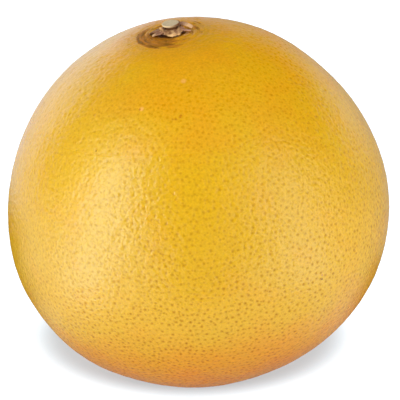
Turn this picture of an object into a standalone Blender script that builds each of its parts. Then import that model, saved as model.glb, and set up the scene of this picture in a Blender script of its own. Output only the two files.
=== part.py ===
"""A grapefruit at rest on the flattened underside of its rind.

Three solids: the fruit with its rind, the dried calyx at its stem end, and the clipped end of
the stalk in the middle of the calyx. Metres, +Z up, origin on the surface under the fruit.
"""

import cmath
import math
import random

import bmesh
import bpy
from mathutils import Matrix, Vector

# Size and form of the fruit
WIDTH_RADIUS = 0.0500        # half the width from side to side
DEPTH_RADIUS = 0.0494        # half the depth from front to back
POLE_RADIUS = 0.0484         # half the height along the fruit's own axis
SIDE_LEAN = math.radians(7.6)       # the stem end leans this far towards -X
FRONT_LEAN = math.radians(2.5)      # and this far towards -Y
FLAT_DEPTH = 0.00066         # how much of the underside is pressed flat
FLAT_SIDES = 24
FLAT_LIMIT = math.radians(20.0)     # the flat spot ends well inside this angle
HALVINGS = 40                # steps in finding its rim
SWELLING_HEIGHT = 0.00068    # three low swellings in one plane round the fruit
SWELLING_TURN = math.radians(-17.3)  # the first of them, up from +X in that plane
SWELLING_PLANE = math.radians(21.0)  # the plane's upper side tips back this far

# Shallow basin and folds round the stem end, radii measured along the rind
BASIN_DEPTH = 0.0008
BASIN_RADIUS = 0.0052
FOLD_HEIGHT = 0.00012
FOLD_SPACING = 0.0020
FOLD_FIRST = 0.0053          # the innermost groove
FOLD_RADIUS = 0.0070         # where the folds are highest
FOLD_REACH = 0.0026          # how far they spread to either side of it
FOLD_WANDER = ((0.12, 2.0, 0.6), (0.08, 5.0, 0.0))  # how they stray: share, waves round, start

# Scar where the flower's style dropped off, beside the spot it rests on
SCAR_LEAN = math.radians(4.5)  # off the fruit's axis
SCAR_RADIUS = 0.0021
SCAR_DEPTH = 0.0005
SCAR_RINGS = (0.0, 0.0011, 0.0021, 0.0032)
SCAR_RING_STEP = 0.0013      # spacing of the points round each ring

# Oil glands of the rind, fewer and larger than life so that a coarse solid shows them
GLAND_COUNT = 1680
GLAND_DEPTH = 0.00022
GLAND_JITTER = 0.22          # share of the spacing
GLAND_SEED = 7
STEM_ZONE = 0.0145           # no large glands nearer the stem end than this
STEM_RINGS = (0.0, 0.0015, 0.0030, 0.0043, 0.0053, 0.0063, 0.0073, 0.0083, 0.0093, 0.0105, 0.0123)
STEM_RING_STEP = 0.0021      # spacing of the points round each ring
CLEAR_OF_FLAT = 0.012        # angle that smooth points keep from the flat spot's rim
GLANDS_OFF_FLAT = 0.55       # share of the spacing that glands keep from it
GLANDS_OFF_SCAR = 0.0018     # and from the scar's outer ring

# Dried calyx, measured from the floor of the basin
GAP = 0.0003                 # between neighbouring solids
CUP_SIDES = 20
CUP_OUTLINE = (              # radius and height, from under the cup over its rim into its pocket
    (0.0, 0.0004),
    (0.00186, 0.0006),
    (0.0031, 0.0009),
    (0.00316, 0.00096),
    (0.00288, 0.00147),
    (0.00248, 0.0016),
    (0.0020, 0.00144),
    (0.0019, 0.00099),
    (0.0, 0.0009),
)
LOBE_ROOT = 0.00235          # where each lobe starts inside the cup
LOBE_THICKNESS = 0.00062
LOBE_CROWN = 0.25            # how much thicker it is along its middle
LOBE_CLEARANCE = 0.00012     # more than the gap, so that no lobe touches the rind
LOBE_CUPPING = 0.00012       # how much its long edges turn up
LOBE_ROOT_WIDTH = 0.62       # share of its width at the root
LOBE_SWELL = 0.38            # what it gains half way along
LOBE_SWELL_PACE = 1.15
LOBE_NARROWING = 0.34        # and what it loses towards the tip
LOBE_RAG = 0.06              # how ragged the tip is
LOBE_STEPS = 7
LOBE_HALF_POINTS = 3
SLIVER = 0.00003             # edges shorter than this are closed up

# Clipped end of the stalk: a short neck under a flared, slightly dished cut
STUB_SIDES = 28
STUB_OUTLINE = (             # radius and height, from the foot in the pocket to the middle of the cut
    (0.0, 0.0012),
    (0.00135, 0.0012),
    (0.0015, 0.0015),
    (0.0015, 0.0019),
    (0.00212, 0.00262),
    (0.00235, 0.00284),
    (0.0023, 0.0031),
    (0.00188, 0.00305),
    (0.0, 0.00295),
)

GOLDEN_ANGLE = math.pi * (3.0 - math.sqrt(5.0))
LEAN = Matrix.Rotation(-SIDE_LEAN, 3, "Y") @ Matrix.Rotation(FRONT_LEAN, 3, "X")


class Lobe:
    """One dried sepal: where it points, how long and wide it is and how it lifts."""

    def __init__(self, turn, length, width, root_lift, arch, tip_lift, twist):
        self.turn = math.radians(turn)     # from +X, anticlockwise seen from above
        self.length = length               # from the calyx's centre to the tip
        self.width = width
        self.root_lift = root_lift         # height over the rind at the root
        self.arch = arch                   # extra height half way along
        self.tip_lift = tip_lift           # height over the rind at the tip
        self.twist = twist                 # one long edge higher than the other


LOBES = (
    Lobe(-80, 0.0046, 0.0042, 0.0006, 0.0000, 0.0001, 0.00008),
    Lobe(-145, 0.0050, 0.0027, 0.0005, 0.0001, 0.0001, -0.00012),
    Lobe(168, 0.0058, 0.0026, 0.0005, 0.0003, 0.0003, 0.00025),
    Lobe(98, 0.0049, 0.0038, 0.0006, 0.0001, 0.0001, -0.00010),
    Lobe(6, 0.0057, 0.0021, 0.0004, 0.0011, 0.0002, 0.00020),
    Lobe(-38, 0.0052, 0.0025, 0.0006, 0.0004, 0.0002, -0.00015),
)


def clear_scene():
    """Remove every object, and the meshes and materials they leave."""
    for item in list(bpy.data.objects):
        bpy.data.objects.remove(item, do_unlink=True)
    for mesh in list(bpy.data.meshes):
        bpy.data.meshes.remove(mesh)
    for material in list(bpy.data.materials):
        bpy.data.materials.remove(material)


def make_material(name, colour, roughness):
    """A plain Principled material, none of it metallic."""
    material = bpy.data.materials.new(name)
    material.use_nodes = True
    shader = material.node_tree.nodes["Principled BSDF"]
    shader.inputs["Base Color"].default_value = (*colour, 1.0)
    shader.inputs["Roughness"].default_value = roughness
    shader.inputs["Metallic"].default_value = 0.0
    material.diffuse_color = (*colour, 1.0)
    return material


def add_object(name, mesh_data, material, parent):
    """Turn a bmesh into a smooth-shaded object under its parent."""
    mesh = bpy.data.meshes.new(name)
    mesh_data.to_mesh(mesh)
    mesh_data.free()
    mesh.shade_smooth()
    mesh.materials.append(material)
    item = bpy.data.objects.new(name, mesh)
    bpy.context.scene.collection.objects.link(item)
    item.parent = parent
    return item


def add_empty(name, location, rotation):
    """An empty that carries pieces built in the fruit's own leaning frame."""
    empty = bpy.data.objects.new(name, None)
    empty.location = location
    empty.rotation_euler = rotation
    bpy.context.scene.collection.objects.link(empty)
    return empty


def direction_at(turn, from_pole):
    """Unit direction in the fruit's own frame, from a turn round it and an angle from the stem end."""
    ring = math.sin(from_pole)
    return Vector((ring * math.cos(turn), ring * math.sin(turn), math.cos(from_pole)))


def swelling(direction):
    """Height of the three swellings towards a direction in the fruit's own frame."""
    upright = LEAN @ direction
    upward = upright.y * math.sin(SWELLING_PLANE) + upright.z * math.cos(SWELLING_PLANE)
    turned = complex(upright.x, upward) * cmath.exp(-1j * SWELLING_TURN)
    return SWELLING_HEIGHT * (turned**3).real


def stem_relief(direction):
    """Basin and concentric folds at the stem end, negative where the rind sinks."""
    along = math.acos(max(-1.0, min(1.0, direction.z))) * POLE_RADIUS
    basin = -BASIN_DEPTH * math.exp(-((along / BASIN_RADIUS) ** 2))
    turn = math.atan2(direction.y, direction.x)
    wander = sum(share * math.sin(waves * turn + start) for share, waves, start in FOLD_WANDER)
    phase = 2.0 * math.pi * ((along - FOLD_FIRST) / FOLD_SPACING + wander)
    spread = math.exp(-(((along - FOLD_RADIUS) / FOLD_REACH) ** 2))
    return basin - FOLD_HEIGHT * spread * math.cos(phase)


def scar_direction():
    """Where the style's scar lies, in the fruit's own frame."""
    return direction_at(0.0, math.pi - SCAR_LEAN)


def scar_relief(direction):
    """The style's scar, a small round dent."""
    along = direction.angle(scar_direction()) * POLE_RADIUS
    return -SCAR_DEPTH * math.exp(-((along / SCAR_RADIUS) ** 2))


def skin_radius(direction):
    """Distance from the fruit's centre to its rind, between the glands."""
    round_form = 1.0 / math.sqrt(
        (direction.x / WIDTH_RADIUS) ** 2
        + (direction.y / DEPTH_RADIUS) ** 2
        + (direction.z / POLE_RADIUS) ** 2
    )
    return round_form + swelling(direction) + stem_relief(direction) + scar_relief(direction)


def upright_height(direction):
    """Height of the rind over the fruit's centre, as the fruit stands."""
    return (LEAN @ direction).z * skin_radius(direction)


def lowest_height():
    """Lowest point of the rind before it is pressed flat, under the centre."""
    downward = LEAN.transposed() @ Vector((0.0, 0.0, -1.0))
    return upright_height(downward)


CENTRE_HEIGHT = -lowest_height() - FLAT_DEPTH


def flat_rim_point(turn):
    """Where the rind meets the surface in one direction round the underside."""
    near = 0.0
    far = FLAT_LIMIT
    for _ in range(HALVINGS):
        tilt = 0.5 * (near + far)
        ring = math.sin(tilt)
        upright = Vector((ring * math.cos(turn), ring * math.sin(turn), -math.cos(tilt)))
        direction = LEAN.transposed() @ upright
        if upright_height(direction) < -CENTRE_HEIGHT:
            near = tilt
        else:
            far = tilt
    reach = CENTRE_HEIGHT * math.tan(tilt)
    foot = Vector((reach * math.cos(turn), reach * math.sin(turn), -CENTRE_HEIGHT))
    return LEAN.transposed() @ foot


def ring_directions(centre, along, step, first_turn):
    """Unit directions round a small circle about a centre, along metres away on the rind."""
    if along == 0.0:
        return [centre.copy()]
    count = max(6, round(2.0 * math.pi * along / step))
    side = centre.orthogonal().normalized()
    other = centre.cross(side)
    angle = along / POLE_RADIUS
    found = []
    for index in range(count):
        turn = first_turn + 2.0 * math.pi * index / count
        aside = side * math.cos(turn) + other * math.sin(turn)
        found.append((centre * math.cos(angle) + aside * math.sin(angle)).normalized())
    return found


def gland_directions(rng):
    """Unit directions of the large glands: a spiral of equal areas, each a little out of place."""
    spacing = math.sqrt(4.0 * math.pi / GLAND_COUNT)
    found = []
    for index in range(GLAND_COUNT):
        height = 1.0 - (2.0 * index + 1.0) / GLAND_COUNT
        ring = math.sqrt(1.0 - height * height)
        turn = GOLDEN_ANGLE * index
        point = Vector((ring * math.cos(turn), ring * math.sin(turn), height))
        shift = Vector((rng.gauss(0.0, 1.0), rng.gauss(0.0, 1.0), rng.gauss(0.0, 1.0)))
        found.append((point + shift * spacing * GLAND_JITTER * 0.5).normalized())
    return found


def build_fruit():
    """The whole fruit as one solid: glands lowered, the rind between them raised."""
    rng = random.Random(GLAND_SEED)
    stem = Vector((0.0, 0.0, 1.0))
    scar = scar_direction()
    foot = LEAN.transposed() @ Vector((0.0, 0.0, -1.0))
    rim = [flat_rim_point(2.0 * math.pi * index / FLAT_SIDES) for index in range(FLAT_SIDES)]
    flat_angle = max(point.angle(foot) for point in rim)
    smooth = []
    for number, along in enumerate(STEM_RINGS):
        smooth += ring_directions(stem, along, STEM_RING_STEP, 0.5 * number)
    for number, along in enumerate(SCAR_RINGS):
        smooth += ring_directions(scar, along, SCAR_RING_STEP, 0.5 * number)
    smooth = [d for d in smooth if d.angle(foot) > flat_angle + CLEAR_OF_FLAT]
    gland_spacing = math.sqrt(4.0 * math.pi / GLAND_COUNT)
    glands = [
        d
        for d in gland_directions(rng)
        if d.angle(stem) * POLE_RADIUS > STEM_ZONE
        and d.angle(foot) > flat_angle + GLANDS_OFF_FLAT * gland_spacing
        and d.angle(scar) * POLE_RADIUS > SCAR_RINGS[-1] + GLANDS_OFF_SCAR
    ]

    mesh_data = bmesh.new()
    places = {}
    pitted = set()
    for point in [*rim, LEAN.transposed() @ Vector((0.0, 0.0, -CENTRE_HEIGHT))]:
        vertex = mesh_data.verts.new(point.normalized())
        places[vertex] = point
    for direction in smooth:
        vertex = mesh_data.verts.new(direction)
        places[vertex] = direction * skin_radius(direction)
    for direction in glands:
        vertex = mesh_data.verts.new(direction)
        places[vertex] = direction * (skin_radius(direction) - GLAND_DEPTH)
        pitted.add(vertex)
    bmesh.ops.convex_hull(mesh_data, input=mesh_data.verts)
    between = [f for f in mesh_data.faces if all(v in pitted for v in f.verts)]
    bmesh.ops.poke(mesh_data, faces=between)
    for vertex in mesh_data.verts:
        if vertex not in places:
            direction = vertex.co.normalized()
            places[vertex] = direction * skin_radius(direction)
    for vertex in mesh_data.verts:
        vertex.co = places[vertex]
    bmesh.ops.triangulate(mesh_data, faces=mesh_data.faces)
    bmesh.ops.recalc_face_normals(mesh_data, faces=mesh_data.faces)
    return mesh_data


def rind_height(across, back):
    """Height of the rind over the basin's floor, at a place seen along the fruit's axis."""
    direction = Vector((across, back, POLE_RADIUS)).normalized()
    floor = skin_radius(Vector((0.0, 0.0, 1.0)))
    return direction.z * skin_radius(direction) - floor


def build_turned(outline, sides):
    """A closed turned solid from radius and height pairs, both ends on the axis."""
    mesh_data = bmesh.new()
    rings = []
    for radius, height in outline:
        if radius == 0.0:
            rings.append([mesh_data.verts.new((0.0, 0.0, height))] * sides)
            continue
        turns = [2.0 * math.pi * index / sides for index in range(sides)]
        rings.append([
            mesh_data.verts.new((radius * math.cos(t), radius * math.sin(t), height)) for t in turns
        ])
    for lower, upper in zip(rings, rings[1:]):
        for index in range(sides):
            after = (index + 1) % sides
            corners = [lower[index], lower[after], upper[after], upper[index]]
            mesh_data.faces.new(list(dict.fromkeys(corners)))
    bmesh.ops.recalc_face_normals(mesh_data, faces=mesh_data.faces)
    return mesh_data


def build_lobe(lobe):
    """One sepal as a thin closed blade that starts inside the cup and ends in a ragged point."""
    mesh_data = bmesh.new()
    along = Vector((math.cos(lobe.turn), math.sin(lobe.turn), 0.0))
    aside = Vector((-along.y, along.x, 0.0))
    tops = []
    bottoms = []
    for step in range(LOBE_STEPS):
        share = step / (LOBE_STEPS - 1)
        reach = LOBE_ROOT + (lobe.length - LOBE_ROOT) * share
        swell = math.sin(math.pi * min(1.0, share * LOBE_SWELL_PACE))
        taper = LOBE_ROOT_WIDTH + LOBE_SWELL * swell - LOBE_NARROWING * share**3
        half_width = 0.5 * lobe.width * taper
        lift = lobe.root_lift + (lobe.tip_lift - lobe.root_lift) * share
        lift += lobe.arch * math.sin(math.pi * share)
        top_row = []
        bottom_row = []
        for number in range(-LOBE_HALF_POINTS, LOBE_HALF_POINTS + 1):
            side = number / LOBE_HALF_POINTS
            ragged = 1.0 - LOBE_RAG * (1.0 + math.sin(5.0 * side + 3.0 * lobe.turn)) * share
            place = along * (reach * ragged) + aside * (half_width * side)
            base = rind_height(place.x, place.y) + GAP + LOBE_CLEARANCE
            cupped = LOBE_CUPPING * side * side + lobe.twist * side
            low = base + lift + cupped + abs(lobe.twist)
            bottom_row.append(mesh_data.verts.new((place.x, place.y, low)))
            thick = LOBE_THICKNESS * (1.0 + LOBE_CROWN * (1.0 - side * side))
            top_row.append(mesh_data.verts.new((place.x, place.y, low + thick)))
        tops.append(top_row)
        bottoms.append(bottom_row)
    last = 2 * LOBE_HALF_POINTS
    for step in range(LOBE_STEPS - 1):
        for number in range(last):
            for rows in (tops, bottoms):
                mesh_data.faces.new((
                    rows[step][number],
                    rows[step][number + 1],
                    rows[step + 1][number + 1],
                    rows[step + 1][number],
                ))
        for edge in (0, last):
            mesh_data.faces.new((
                tops[step][edge], tops[step + 1][edge], bottoms[step + 1][edge], bottoms[step][edge],
            ))
    for step in (0, LOBE_STEPS - 1):
        for number in range(last):
            mesh_data.faces.new((
                tops[step][number], tops[step][number + 1], bottoms[step][number + 1], bottoms[step][number],
            ))
    bmesh.ops.triangulate(mesh_data, faces=mesh_data.faces)
    bmesh.ops.recalc_face_normals(mesh_data, faces=mesh_data.faces)
    return mesh_data


def merge_slivers(mesh):
    """Join points closer than SLIVER, which the union leaves where two blades nearly meet."""
    mesh_data = bmesh.new()
    mesh_data.from_mesh(mesh)
    bmesh.ops.triangulate(mesh_data, faces=mesh_data.faces)
    bmesh.ops.dissolve_degenerate(mesh_data, dist=SLIVER, edges=mesh_data.edges)
    bmesh.ops.triangulate(mesh_data, faces=mesh_data.faces)
    mesh_data.to_mesh(mesh)
    mesh_data.free()


def build_calyx(name, material, parent):
    """Cup and lobes joined into one solid."""
    calyx = add_object(name, build_turned(CUP_OUTLINE, CUP_SIDES), material, parent)
    sepals = bpy.data.collections.new("sepals")
    bpy.context.scene.collection.children.link(sepals)
    blades = []
    for number, lobe in enumerate(LOBES):
        blade = add_object(f"lobe_{number}", build_lobe(lobe), material, parent)
        bpy.context.scene.collection.objects.unlink(blade)
        sepals.objects.link(blade)
        blades.append(blade)
    union = calyx.modifiers.new("lobes", "BOOLEAN")
    union.operation = "UNION"
    union.operand_type = "COLLECTION"
    union.collection = sepals
    union.solver = "MANIFOLD"  # EXACT leaves open edges where several lobes meet in the cup
    bpy.context.view_layer.update()
    graph = bpy.context.evaluated_depsgraph_get()
    joined = bpy.data.meshes.new_from_object(calyx.evaluated_get(graph))
    calyx.modifiers.remove(union)
    calyx.data = joined
    merge_slivers(joined)
    for blade in blades:
        bpy.data.objects.remove(blade, do_unlink=True)
    bpy.data.collections.remove(sepals)
    joined.shade_smooth()
    return calyx


def main():
    clear_scene()
    rind = make_material("rind", (0.80, 0.47, 0.06), 0.42)
    dried = make_material("dried_sepal", (0.36, 0.22, 0.12), 0.80)
    cut_wood = make_material("cut_stalk", (0.42, 0.37, 0.28), 0.85)
    middle = add_empty("fruit_middle", (0.0, 0.0, CENTRE_HEIGHT), (FRONT_LEAN, -SIDE_LEAN, 0.0))
    add_object("fruit", build_fruit(), rind, middle)
    floor = skin_radius(Vector((0.0, 0.0, 1.0)))
    stem_end = add_empty("stem_end", (0.0, 0.0, floor), (0.0, 0.0, 0.0))
    stem_end.parent = middle
    build_calyx("calyx", dried, stem_end)
    add_object("stem_stub", build_turned(STUB_OUTLINE, STUB_SIDES), cut_wood, stem_end)


main()
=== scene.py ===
"""A grapefruit's finish: rind with its oil glands, dried calyx and clipped stalk, in soft light."""

import math
from functools import partial
from typing import NamedTuple

import bmesh
import bpy
import numpy as np
from bpy.props import FloatProperty, FloatVectorProperty, IntProperty, PointerProperty
from mathutils import Matrix, Vector, noise
from mathutils.bvhtree import BVHTree
from mathutils.kdtree import KDTree


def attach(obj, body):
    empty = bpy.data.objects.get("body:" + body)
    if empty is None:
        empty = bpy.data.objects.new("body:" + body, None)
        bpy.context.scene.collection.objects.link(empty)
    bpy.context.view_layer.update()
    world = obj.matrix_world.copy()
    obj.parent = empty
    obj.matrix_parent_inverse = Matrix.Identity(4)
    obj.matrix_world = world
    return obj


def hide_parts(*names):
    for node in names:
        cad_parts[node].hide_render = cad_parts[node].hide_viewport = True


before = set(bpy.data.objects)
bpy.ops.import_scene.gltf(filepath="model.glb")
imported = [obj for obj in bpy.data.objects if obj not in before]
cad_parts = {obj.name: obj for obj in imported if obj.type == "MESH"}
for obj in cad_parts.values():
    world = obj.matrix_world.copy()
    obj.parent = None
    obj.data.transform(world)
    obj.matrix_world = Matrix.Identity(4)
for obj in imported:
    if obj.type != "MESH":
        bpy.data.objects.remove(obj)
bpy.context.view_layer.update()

bl_info = {
    "name": "Grapefruit",
    "version": (1, 0, 0),
    "blender": (4, 5, 0),
    "location": "3D View > Sidebar > Grapefruit",
    "description": "Builds a grapefruit's rind, calyx and stalk round its solids",
    "category": "Object",
}

MM = 0.001
BODY = "root"


def linear(hex_colour):
    """An sRGB hex colour as linear red, green and blue, with full alpha."""
    found = []
    for place in (1, 3, 5):
        value = int(hex_colour[place:place + 2], 16) / 255.0
        found.append(value / 12.92 if value <= 0.04045 else ((value + 0.055) / 1.055) ** 2.4)
    return (*found, 1.0)


# A setting's default is given in millimetres, in degrees, as an sRGB hex colour or as a share


def length(name, description, size):
    """A setting that is a length."""
    return FloatProperty(
        name=name, description=description, default=size * MM, subtype="DISTANCE", unit="LENGTH")


def angle(name, description, degrees):
    """A setting that is an angle."""
    return FloatProperty(
        name=name, description=description, default=math.radians(degrees), subtype="ANGLE", unit="ROTATION")


def tint(name, description, hex_colour):
    """A setting that is a colour."""
    return FloatVectorProperty(
        name=name, description=description, default=linear(hex_colour), subtype="COLOR", size=4,
        min=0.0, max=1.0)


def level(name, description, share):
    """A setting that is a brightness or a share."""
    return FloatProperty(name=name, description=description, default=share, min=0.0)


class GRAPEFRUIT_PG_form(bpy.types.PropertyGroup):
    """Size and form of the fruit. They repeat the solid's own dimensions."""

    width_radius: length("Half width", "Half the width from side to side", 50.0)
    depth_radius: length("Half depth", "Half the depth from front to back", 49.4)
    pole_radius: length("Half height", "Half the height along the fruit's own axis", 48.4)
    side_lean: angle("Lean to the side", "How far the stem end leans towards -X", 7.6)
    front_lean: angle("Lean to the front", "How far the stem end leans towards -Y", 2.5)
    flat_depth: length("Flat depth", "How much of the underside is pressed flat", 0.66)
    swelling_height: length("Swelling", "Height of the three low swellings round the fruit", 0.68)
    swelling_turn: angle("Swelling turn", "Where the first swelling points, up from +X", -17.3)
    swelling_plane: angle("Swelling plane", "How far the upper side of their plane tips back", 21.0)
    basin_depth: length("Basin depth", "Depth of the hollow at the stem end", 0.8)
    basin_radius: length("Basin radius", "Reach of the hollow at the stem end", 5.2)
    fold_height: length("Fold height", "Height of the folds round the calyx", 0.12)
    fold_spacing: length("Fold spacing", "From one fold round the calyx to the next", 2.0)
    fold_first: length("First groove", "Radius of the innermost groove round the calyx", 5.3)
    waviness: length("Waviness", "Height of the slow unevenness all over the rind", 0.10)


class GRAPEFRUIT_PG_rind(bpy.types.PropertyGroup):
    """Glands and colours of the rind."""

    gland_spacing: length("Gland spacing", "Least distance between two oil glands", 1.33)
    stem_spacing: length("Spacing at the stem", "Least distance between glands near the stem end", 0.80)
    stem_zone: length("Stem zone", "Radius of the finer rind round the stem end", 13.0)
    gland_radius: length("Gland radius", "Radius of the ring where a gland's pit starts", 0.46)
    gland_depth: length("Gland depth", "Depth of the deepest pits", 0.075)
    lump_height: length("Lump height", "Unevenness of the skin between the glands", 0.060)
    lump_width: length("Lump width", "From one lump between the glands to the next", 2.4)
    seed: IntProperty(name="Seed", description="Draw of the glands' places", default=11)
    yellow: tint("Yellow", "Rind at the fruit's waist", "#CB9D0A")
    # Orange also serves as painted shade, towards the top on the right and towards the bottom
    orange: tint("Orange", "Rind in its riper clouds and at both ends", "#D4860A")
    gland: tint("Gland", "What the oil in a gland lets through of the skin's colour", "#CEB650")
    russet: tint("Russet", "Corky skin round the calyx", "#A4631C")
    # Painted shade: the colour for the dark ring of skin under the calyx's edge, where its shadow falls
    calyx_edge_shade: tint("Stain", "Dark skin under the edge of the calyx", "#68380E")


class GRAPEFRUIT_PG_calyx(bpy.types.PropertyGroup):
    """Sizes and colours of the calyx and the clipped stalk."""

    cup_radius: length("Cup radius", "Radius of the cup that the sepals grow from", 3.1)
    cup_top: length("Cup height", "Height of the cup over the basin's floor", 1.6)
    blade: length("Sepal thickness", "Thickness of a dried sepal", 0.46)
    voxel: length("Grain", "Size of the smallest shape in the calyx", 0.085)
    stub_radius: length("Stalk radius", "Radius of the stalk's flared cut end", 2.35)
    stub_top: length("Stalk height", "Height of the cut over the basin's floor", 3.0)
    pale: tint("Pale sepal", "Bleached sepal tips", "#E6BC80")
    dark: tint("Dark sepal", "Brown cup and shaded sepals", "#70441E")
    mauve: tint("Mauve sepal", "Pinkish patches of the sepals", "#B4846C")
    # Crack is dirt and painted shade: it darkens the calyx where rays from it meet the calyx again
    crack: tint("Crack", "Dirt in the cracks and under the sepals", "#583214")
    cut: tint("Cut", "Weathered grey of the cut stalk", "#BBA886")
    rim: tint("Rim", "Cream bark edge of the cut", "#D2B88C")


class GRAPEFRUIT_PG_studio(bpy.types.PropertyGroup):
    """Floor, lights and camera."""

    camera_elevation: angle("Camera elevation", "Height of the camera over the horizon", 21.0)
    camera_distance: length("Camera distance", "From the camera to the fruit's middle", 1000.0)
    box_width: length("Softbox width", "Width of a softbox", 620.0)
    box_height: length("Softbox height", "Height of a softbox, which stands on the floor", 600.0)
    box_distance: length("Softbox distance", "From the fruit to a softbox", 500.0)
    left_light: level("Left softbox", "Brightness of the left softbox, 1 is paper white", 0.92)
    right_light: level("Right softbox", "Brightness of the right softbox, 1 is paper white", 0.64)
    room_light: level("Room", "Share of the room's light, ceiling and walls", 1.0)
    table_light: level("Table", "Share of the light through the table", 1.0)


def put(name, data):
    """A new object in the scene, at the origin."""
    thing = bpy.data.objects.new(name, data)
    bpy.context.scene.collection.objects.link(thing)
    return thing


def read(items, name, width=1):
    """One value, or a row of them, of each of a mesh's vertices or other items."""
    values = np.empty(len(items) * width)
    items.foreach_get(name, values)
    return values if width == 1 else values.reshape(-1, width)


# The fruit's form, as in its solid. It is worked out in its own frame, with the stem end up

STEM_END = np.array([[0.0, 0.0, 1.0]])
WAVE_COUNT, WAVE_SEED = 14, 5
WAVE_PITCH = (7.0, 16.0)  # waves in a radian, least and most
FOLD_MIDDLE, FOLD_REACH = 7.0 * MM, 2.6 * MM  # where the folds round the calyx are highest
CALM_RADIUS = 12.0 * MM  # the slow unevenness fades out round the calyx
SCAR_LEAN = math.radians(4.5)  # the flower's scar, beside the flat spot
SCAR_DEPTH, SCAR_RADIUS = 0.5 * MM, 2.1 * MM


def lean_matrix(form):
    """Turn from the fruit's own frame, stem end up, to the frame in which it stands."""
    side = Matrix.Rotation(-form.side_lean, 3, "Y")
    return np.array(side @ Matrix.Rotation(form.front_lean, 3, "X"))


def slow_waves(directions):
    """A smooth random field on the sphere, between about -1 and 1."""
    rng = np.random.default_rng(WAVE_SEED)
    total = np.zeros(len(directions))
    for _ in range(WAVE_COUNT):
        facing = rng.normal(size=3)
        facing /= np.linalg.norm(facing)
        pitch = rng.uniform(*WAVE_PITCH)
        total += np.sin(pitch * directions @ facing + rng.uniform(0.0, 2.0 * math.pi))
    return total / math.sqrt(WAVE_COUNT)


def rind_radius(form, directions, waviness):
    """Distance from the fruit's middle to its rind between the glands."""
    across, back, up = directions.T
    round_form = 1.0 / np.sqrt(
        (across / form.width_radius) ** 2
        + (back / form.depth_radius) ** 2
        + (up / form.pole_radius) ** 2
    )
    upright = directions @ lean_matrix(form).T
    plane = form.swelling_plane
    tipped = upright[:, 1] * math.sin(plane) + upright[:, 2] * math.cos(plane)
    turned = (upright[:, 0] + 1j * tipped) * np.exp(-1j * form.swelling_turn)
    swelling = form.swelling_height * (turned**3).real
    along = np.arccos(np.clip(up, -1.0, 1.0)) * form.pole_radius
    basin = -form.basin_depth * np.exp(-((along / form.basin_radius) ** 2))
    turn = np.arctan2(back, across)
    wander = 0.12 * np.sin(2.0 * turn + 0.6) + 0.08 * np.sin(5.0 * turn)  # in folds
    phase = 2.0 * math.pi * ((along - form.fold_first) / form.fold_spacing + wander)
    spread = np.exp(-(((along - FOLD_MIDDLE) / FOLD_REACH) ** 2))
    folds = -form.fold_height * spread * np.cos(phase)
    lean = math.pi - SCAR_LEAN
    scar = np.array((math.sin(lean), 0.0, math.cos(lean)))
    from_scar = np.arccos(np.clip(directions @ scar, -1.0, 1.0)) * form.pole_radius
    scar_dent = -SCAR_DEPTH * np.exp(-((from_scar / SCAR_RADIUS) ** 2))
    calm = 1.0 - np.exp(-((along / CALM_RADIUS) ** 2))
    waves = waviness * slow_waves(directions) * calm
    return round_form + swelling + basin + folds + scar_dent + waves


def middle_height(form):
    """Height of the fruit's middle over the surface it rests on."""
    down = -STEM_END @ lean_matrix(form)
    return rind_radius(form, down, 0.0)[0] - form.flat_depth


def rind_points(form, directions, sink):
    """Places on the standing fruit's rind, sink metres under it, never under the surface."""
    radius = rind_radius(form, directions, form.waviness) - sink
    places = (directions * radius[:, None]) @ lean_matrix(form).T
    places[:, 2] = np.maximum(places[:, 2] + middle_height(form), 0.0)
    return places


def stem_place(form, places):
    """From the stem end's own frame, origin on the basin's floor, to the standing fruit."""
    floor = rind_radius(form, STEM_END, form.waviness)[0]
    moved = np.asarray(places, float) + np.array((0.0, 0.0, floor))
    standing = moved @ lean_matrix(form).T
    standing[:, 2] += middle_height(form)
    return standing


# Nodes. A Map Range node is fed a value, where it starts and ends, and what is given at each

SMOOTH = {"interpolation_type": "SMOOTHSTEP"}
VECTORS = {"data_type": "VECTOR", "output": 1}  # a Mix node's inputs are then 0, 4 and 5
COLOURS = {"data_type": "RGBA", "output": 2}  # and here 0, 6 and 7


def feed_node(tree, node, feed):
    """Give a node's inputs, in their order or else by name or number, each a value or a link."""
    for key, value in feed.items() if isinstance(feed, dict) else enumerate(feed):
        if isinstance(value, bpy.types.NodeSocket):
            tree.links.new(value, node.inputs[key])
        else:
            node.inputs[key].default_value = value


def add_node(tree, kind, feed=(), operation=None, output=0, **settings):
    """Add a node with its settings and links, and give back one of its outputs, or with None all.

    A plain kind, such as Math, is a ShaderNode."""
    node = tree.nodes.new(kind if "Node" in kind else "ShaderNode" + kind)
    for name, value in settings.items():
        setattr(node, name, value)
    if operation:
        node.operation = operation
    feed_node(tree, node, feed)
    return node.outputs if output is None else node.outputs[output]


def start_material(name):
    """A new material, its tree and its shader."""
    material = bpy.data.materials.new(name)
    material.use_nodes = True
    return material, material.node_tree, material.node_tree.nodes["Principled BSDF"]


def own_frame(form, add, centre):
    """Object coordinates moved to a place on the fruit's axis, and turned so that Z runs up the axis."""
    place = add("TexCoord", output="Object")
    back = Matrix(lean_matrix(form).tolist()).transposed()
    feed = {"Vector": place, "Location": -(back @ Vector(centre)), "Rotation": back.to_euler()}
    return add("Mapping", feed, vector_type="POINT")


# Room for the glands. The densities are more than the spacing lets through, so the spacing rules
DENSITY, STEM_DENSITY = 9000.0, 30000.0
RING_SHARE = 0.66  # of a cell, the most that the ring round its pit may take
LUMP_SWING = 4.0  # the noise swings by only a quarter to each side


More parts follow.
